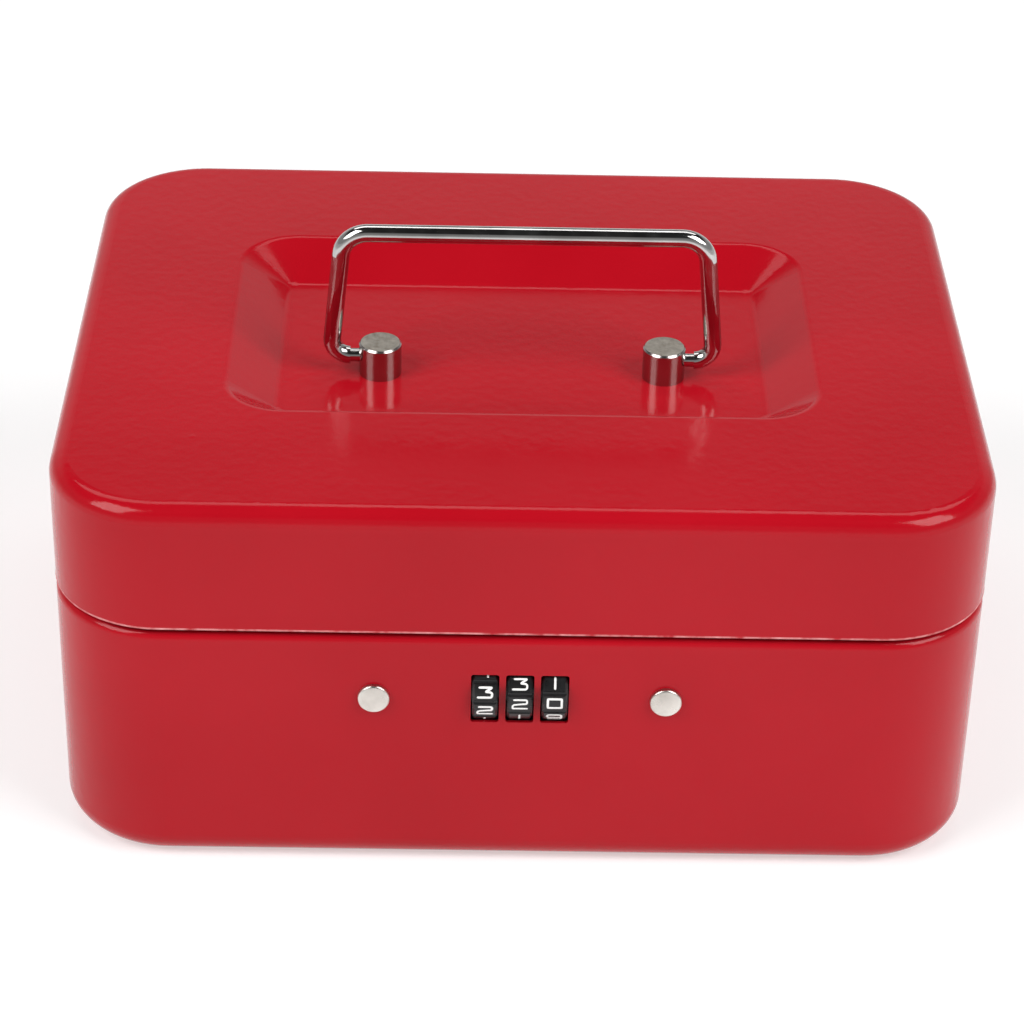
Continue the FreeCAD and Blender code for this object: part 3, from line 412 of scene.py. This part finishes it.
# cross-head screws that stand in for the plain ones: pan heads with a tapered cross recess
postScrew = {"node": "handle_post_screws", "body": "lid", "out": (0, 0, -1), "shank": 0.0015,
             "head": 0.0028, "headHigh": 0.0018,
             "crossWide": 0.0007, "crossLong": 0.0031, "crossDeep": 0.0011}
coverScrew = {"node": "lock_cover_screws", "body": "base", "out": (0, 1, 0), "shank": 0.00095,
              "head": 0.002, "headHigh": 0.0012,
              "crossWide": 0.00055, "crossLong": 0.0023, "crossDeep": 0.0008}
screwShape = {"sides": 40, "domeShare": 0.45, "domeSteps": 5, "crossTaper": 0.6, "crease": 35}
facing = 0.9  # faces whose normal has this much of Z count as ends


def pickFaces(shape, test):
    bpy.ops.mesh.select_all(action="DESELECT")
    bpy.ops.object.mode_set(mode="OBJECT")
    for face in shape.data.polygons:
        face.select = test(face)
    bpy.ops.object.mode_set(mode="EDIT")
    bpy.ops.mesh.select_mode(type="FACE")


def shapeScrew(kit, length):
    # head upwards, its top at the origin
    startFresh()
    bpy.ops.mesh.primitive_cylinder_add(vertices=screwShape["sides"], radius=kit["head"],
                                        depth=kit["headHigh"], location=(0, 0, -kit["headHigh"] / 2))
    screw = bpy.context.object
    bpy.ops.object.transform_apply(location=True)
    bpy.ops.object.mode_set(mode="EDIT")
    pickFaces(screw, lambda face: face.normal.z > facing)
    bpy.ops.mesh.bevel(offset=kit["headHigh"] * screwShape["domeShare"],
                       segments=screwShape["domeSteps"], affect="EDGES")
    pickFaces(screw, lambda face: face.normal.z < -facing)
    bpy.ops.mesh.inset(thickness=kit["head"] - kit["shank"])
    shankRun = (0, 0, kit["headHigh"] - length)
    bpy.ops.mesh.extrude_region_move(TRANSFORM_OT_translate={"value": shankRun})
    bpy.ops.object.mode_set(mode="OBJECT")
    return screw


def cutCross(screw, kit):
    startFresh()
    bars = []
    for turn in (0, math.pi / 2):
        bpy.ops.mesh.primitive_cube_add(size=1, rotation=(0, 0, turn),
                                        scale=(kit["crossLong"], kit["crossWide"], 2 * kit["crossDeep"]))
        bar = bpy.context.object
        bpy.ops.object.transform_apply(location=True, rotation=True, scale=True)
        bpy.ops.object.mode_set(mode="EDIT")
        pickFaces(bar, lambda face: face.normal.z < -facing)
        bpy.ops.transform.resize(value=(screwShape["crossTaper"], screwShape["crossTaper"], 1),
                                 center_override=(0, 0, -kit["crossDeep"]))
        bpy.ops.object.mode_set(mode="OBJECT")
        bars.append(bar)
    for bar in bars:
        recess = screw.modifiers.new("recess", "BOOLEAN")
        recess.operation = "DIFFERENCE"
        recess.object = bar
        startFresh()
        bpy.context.view_layer.objects.active = screw
        bpy.ops.object.modifier_apply(modifier=recess.name)
        bpy.data.objects.remove(bar)


def makeScrews(kit):
    low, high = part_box(kit["node"])
    outward = Vector(kit["out"])
    length = abs((high - low).dot(outward))
    screw = shapeScrew(kit, length)
    cutCross(screw, kit)
    startFresh()
    screw.select_set(True)
    bpy.context.view_layer.objects.active = screw
    bpy.ops.object.shade_smooth_by_angle(angle=math.radians(screwShape["crease"]))
    screw.rotation_mode = "QUATERNION"
    screw.rotation_quaternion = outward.to_track_quat("Z", "Y")
    top = (low + high) / 2 + outward * (length / 2)
    screw.location = (low.x + kit["head"], top.y, top.z)
    bpy.ops.object.duplicate()
    bpy.context.object.location.x = high.x - kit["head"]
    screw.select_set(True)
    bpy.context.view_layer.objects.active = screw
    bpy.ops.object.join()
    bpy.ops.object.transform_apply(location=True, rotation=True, scale=True)
    screw.name = f"cross_{kit['node']}"
    screw.data.materials.clear()
    screw.data.materials.append(finishes["steel"])
    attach(screw, kit["body"])
    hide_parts(kit["node"])


for kit in (postScrew, coverScrew):
    makeScrews(kit)
print("cross-head screws in place")

# pale floor that runs into a pale horizon under a dark ceiling, and soft light from above and both sides
white = (1, 1, 1, 1)
stageSet = {"floorSize": 30, "floorDrop": 0.0002}
floorLook = {"Base Color": (0.52, 0.52, 0.52, 1), "Roughness": 0.7,
             "Emission Color": white, "Emission Strength": 0.48}
# sky brightness by direction, as an axis and its span: height times side, or the low glow where brighter
skySet = {"height": ("Z", (0.42, 0.62, 0.62, 0.05)),
          "side": ("Y", (0.45, 0.85, 0.5, 1.0)),
          "glow": ("Z", (0.08, 0.2, 0.58, 0.0))}
softboxes = {
    "above": {"place": (0.0, 0.6, 1.15), "aim": (0, 0, 0.08), "size": (1.5, 0.42), "power": 5},
    "right": {"place": (0.95, -0.6, 1.1), "aim": (0, 0, 0.05), "size": (0.8, 1.0), "power": 17.5},
    "left": {"place": (-0.95, -0.6, 1.1), "aim": (0, 0, 0.05), "size": (0.8, 1.0), "power": 17.5},
}


def layFloor():
    startFresh()
    bpy.ops.mesh.primitive_plane_add(size=stageSet["floorSize"])
    floor = bpy.context.object
    floor.name = "floor"
    floor.location.z = cadBox[0].z - stageSet["floorDrop"]
    floor.data.materials.append(newFinish("paleFloor", floorLook)[0])


def lightStage():
    world = bpy.data.worlds.new("softRoom")
    world.use_nodes = True
    tree = world.node_tree
    background = tree.nodes["Background"]
    toward = tree.nodes.new("ShaderNodeTexCoord")
    split = tree.nodes.new("ShaderNodeSeparateXYZ")
    tree.links.new(toward.outputs["Generated"], split.inputs["Vector"])
    fades = {name: ranged(tree, split.outputs[axis], limits) for name, (axis, limits) in skySet.items()}
    wide = combined(tree, "MULTIPLY", fades["height"], fades["side"])
    strength = combined(tree, "MAXIMUM", wide, fades["glow"])
    tree.links.new(strength, background.inputs["Strength"])
    background.inputs["Color"].default_value = white
    scene.world = world
    for name, box in softboxes.items():
        light = bpy.data.lights.new(name, "AREA")
        light.shape = "RECTANGLE"
        light.size, light.size_y = box["size"]
        light.energy = box["power"]
        lamp = bpy.data.objects.new(name, light)
        scene.collection.objects.link(lamp)
        aim = Vector(box["aim"]) - Vector(box["place"])
        lamp.location = box["place"]
        lamp.rotation_mode = "QUATERNION"
        lamp.rotation_quaternion = aim.to_track_quat("-Z", "Y")


# the photograph's viewpoint: above the front, a long lens, tilted a little
viewpoint = {"place": (-0.01232, -0.62875, 0.43943), "yaw": 1.01, "pitch": 32.41, "roll": -1.44,
             "lens": 111.91, "nearest": 0.01}


def setCamera():
    yaw, pitch, roll = (math.radians(viewpoint[name]) for name in ("yaw", "pitch", "roll"))
    ahead = Vector((math.sin(yaw) * math.cos(pitch), math.cos(yaw) * math.cos(pitch), -math.sin(pitch)))
    right = Vector((math.cos(yaw), -math.sin(yaw), 0))
    down = ahead.cross(right)
    tiltedRight = right * math.cos(roll) + down * math.sin(roll)
    tiltedDown = down * math.cos(roll) - right * math.sin(roll)
    lens = bpy.data.cameras.new("viewpoint")
    lens.lens = viewpoint["lens"]
    lens.clip_start = viewpoint["nearest"]
    camera = bpy.data.objects.new("viewpoint", lens)
    scene.collection.objects.link(camera)
    turn = Matrix((tiltedRight, -tiltedDown, -ahead)).transposed().to_4x4()
    camera.matrix_world = Matrix.Translation(viewpoint["place"]) @ turn
    scene.camera = camera


layFloor()
lightStage()
setCamera()
print("stage, lights and camera set")
